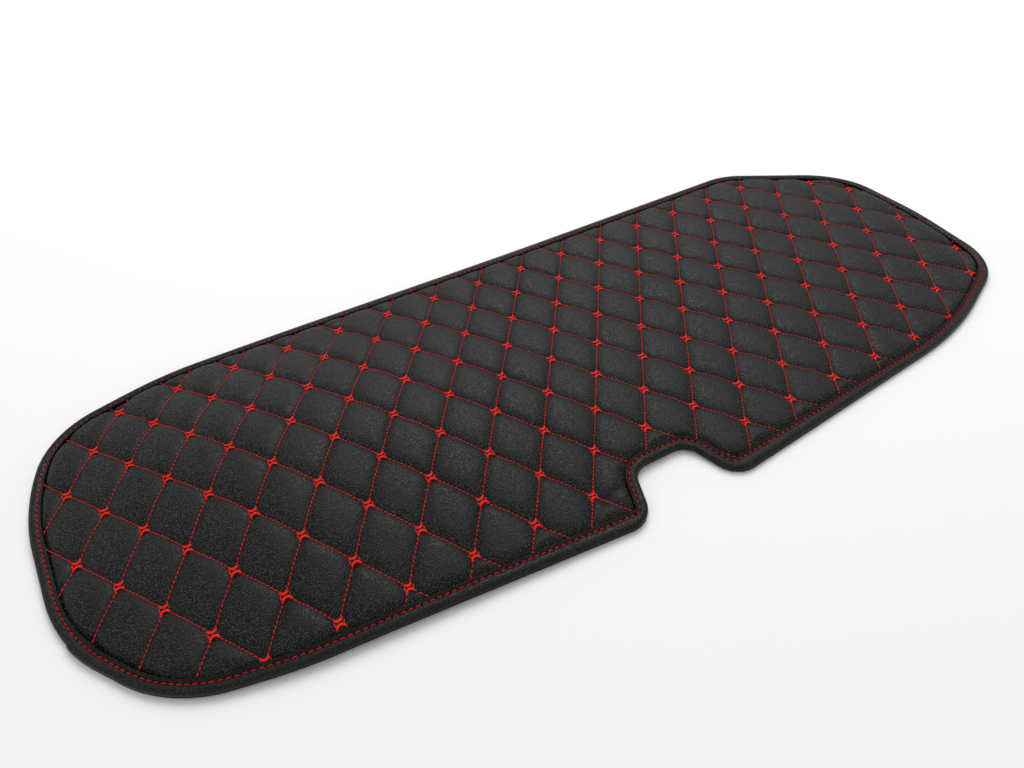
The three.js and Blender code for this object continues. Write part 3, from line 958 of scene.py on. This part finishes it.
# Tacks
# A dense embroidered tack on each crossing, of the same red thread: an arc that opens away from
# the crossing on either side, and a thin stitch at each flank.

# The arcs: NEAR and FAR are their middle's and their ends' distance from the crossing
TACK_HALF_WIDTH = 4.4 * MM
TACK_NEAR = 1.6 * MM
TACK_FAR = 4.9 * MM
TACK_STRANDS = 3
TACK_STRAND_RADIUS = 0.56 * MM
TACK_STRAND_GAP = 0.7 * MM
TACK_HEIGHT = 0.9 * MM
TACK_POINTS = 7
TACK_DIVE = 0.9
TACK_SIDE_STRAND_DROP = 0.2
TACK_TAPER = 0.3

# The flank stitches: how far out they are, half their length and their radius
TACK_FLANK = 3.8 * MM
TACK_FLANK_REACH = 2.2 * MM
TACK_FLANK_RADIUS = 0.55 * MM
TACK_FLANK_POINTS = 4
TACK_FLANK_SIDES = 5
TACK_FLANK_CROWN = 0.8
TACK_FLANK_DIVE = 1.2
TACK_LINE = 0.01 * MM


def tack_shape():
    """One tack: two arcs of a few strands each, and two flank stitches."""
    parts = []
    way = np.linspace(-1, 1, TACK_POINTS)
    middle = (TACK_STRANDS - 1) / 2
    for side in (1, -1):
        for number in range(TACK_STRANDS):
            from_middle = number - middle
            y = TACK_NEAR + from_middle * TACK_STRAND_GAP + (TACK_FAR - TACK_NEAR) * way**2
            z = TACK_HEIGHT * (1 - TACK_DIVE * way**6 - TACK_SIDE_STRAND_DROP * abs(from_middle))
            line = np.stack([way * TACK_HALF_WIDTH, side * y, z], 1)
            parts.append(strand(line, TACK_STRAND_RADIUS * (1 - TACK_TAPER * way**4)))
    share = np.linspace(-1, 1, TACK_FLANK_POINTS)
    height = TACK_FLANK_RADIUS * (TACK_FLANK_CROWN - TACK_FLANK_DIVE * share**4)
    for side in (1, -1):
        line = np.stack([0 * share + side * TACK_FLANK, share * TACK_FLANK_REACH, height], 1)
        parts.append(strand(line, np.full(len(share), TACK_FLANK_RADIUS), TACK_FLANK_SIDES))
    return joined("tack_shape", parts)


def tack_runs():
    """A very short level line on each open crossing. A tack goes on the first of its two points."""
    numbers = range(-LATTICE_REACH, LATTICE_REACH)
    places = np.array([crossing(i, j) for i in numbers for j in numbers])
    places = places[(np.abs(places[:, 0]) < cad_high.x) & (np.abs(places[:, 1]) < cad_high.y)]
    places = places[inside_seam(places)[0] > LIP_WIDTH - TACK_NEAR]
    height = lift(*places.T) + CROSSING_TOP
    return [[(x, y, z), (x + TACK_LINE, y, z)] for (x, y), z in zip(places, height)]


TACK_RED_DARK = (0.66, 0.008, 0.004, 1)
TACK_RED_LIGHT = (0.88, 0.030, 0.012, 1)

tack = tack_shape()
tacks = repeated(
    "quilting_tacks",
    tack_runs(),
    shape=tack,
    spacing=1.0,
    every=2,
    slant=0.0,
    turn_spread=math.radians(5),
    size_spread=0.06,
    seed=5,
    thread=thread_finish("tack thread", TACK_RED_DARK, TACK_RED_LIGHT),
)
bpy.data.objects.remove(tack)
for piece in [*quilting_pieces, tacks]:
    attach(piece, "root")
    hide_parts("quilting_thread")


# Binding seam
# One row of longer red stitches that goes round the whole mat in the groove beside the lip, and
# comes out again in the groove under the mat.

BINDING_STITCH_LENGTH = 4.7 * MM
BINDING_STITCH_THICKNESS = 1.15 * MM
BINDING_SEAM_TOP = 5.3 * MM
BINDING_SEAM_UNDER = 1.05 * MM
BINDING_RED_DARK = (0.34, 0.003, 0.006, 1)
BINDING_RED_LIGHT = (0.66, 0.014, 0.018, 1)
binding_thread = thread_finish("binding thread", BINDING_RED_DARK, BINDING_RED_LIGHT)


def binding_seam(name, level, turned_over):
    """The row of stitches at a level over the mat's underside, bulging up or turned over."""
    points = evenly(BINDING_STEP, seam_points)[0]
    height = lift(points[:, 0], points[:, 1]) + level
    shape = stitch_shape("binding_stitch", BINDING_STITCH_LENGTH, BINDING_STITCH_THICKNESS)
    if turned_over:
        shape.data.transform(Matrix.Rotation(math.pi, 4, "X"))
    piece = repeated(
        name,
        [np.column_stack([points, height])],
        closed=True,
        shape=shape,
        spacing=STITCH_PITCH,
        every=1,
        slant=math.radians(3),
        turn_spread=math.radians(3),
        size_spread=0.05,
        seed=6,
        thread=binding_thread,
    )
    bpy.data.objects.remove(shape)
    return piece


for piece in [
    binding_seam("binding_seam_top", BINDING_SEAM_TOP, False),
    binding_seam("binding_seam_under", BINDING_SEAM_UNDER, True),
]:
    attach(piece, "root")
    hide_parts("binding_thread")


# Floor and light
# A plain white floor under the mat, and the even light of a bright room: a large soft lamp above
# and behind, and a white surround.

FLOOR_HALF = 6
FLOOR_COLOUR = (0.96, 0.96, 0.955, 1)
LAMP_AT = Vector((0.9, 1.6, 2.4))
LAMP_SIZE = 2.2
LAMP_POWER = 54
SURROUND_STRENGTH = 0.6

floor = mesh_object(
    "floor",
    [(x * FLOOR_HALF, y * FLOOR_HALF, 0) for x, y in [(-1, -1), (1, -1), (1, 1), (-1, 1)]],
    [(0, 1, 2, 3)],
)
floor_finish = Finish("white floor", Base_Color=FLOOR_COLOUR, Roughness=0.9, Specular_IOR_Level=0.1)
finish_with(floor, floor_finish.material)

lamp_data = bpy.data.lights.new("soft lamp", "AREA")
lamp_data.shape = "DISK"
lamp_data.size = LAMP_SIZE
lamp_data.energy = LAMP_POWER
lamp = bpy.data.objects.new("soft lamp", lamp_data)
lamp.matrix_world = Matrix.Translation(LAMP_AT) @ LAMP_AT.to_track_quat("Z", "Y").to_matrix().to_4x4()
bpy.context.scene.collection.objects.link(lamp)

world = bpy.data.worlds.new("bright room")
world.use_nodes = True
surround = world.node_tree.nodes["Background"]
surround.inputs["Color"].default_value = (1, 1, 1, 1)
surround.inputs["Strength"].default_value = SURROUND_STRENGTH
bpy.context.scene.world = world
bpy.context.scene.view_settings.view_transform = "Standard"
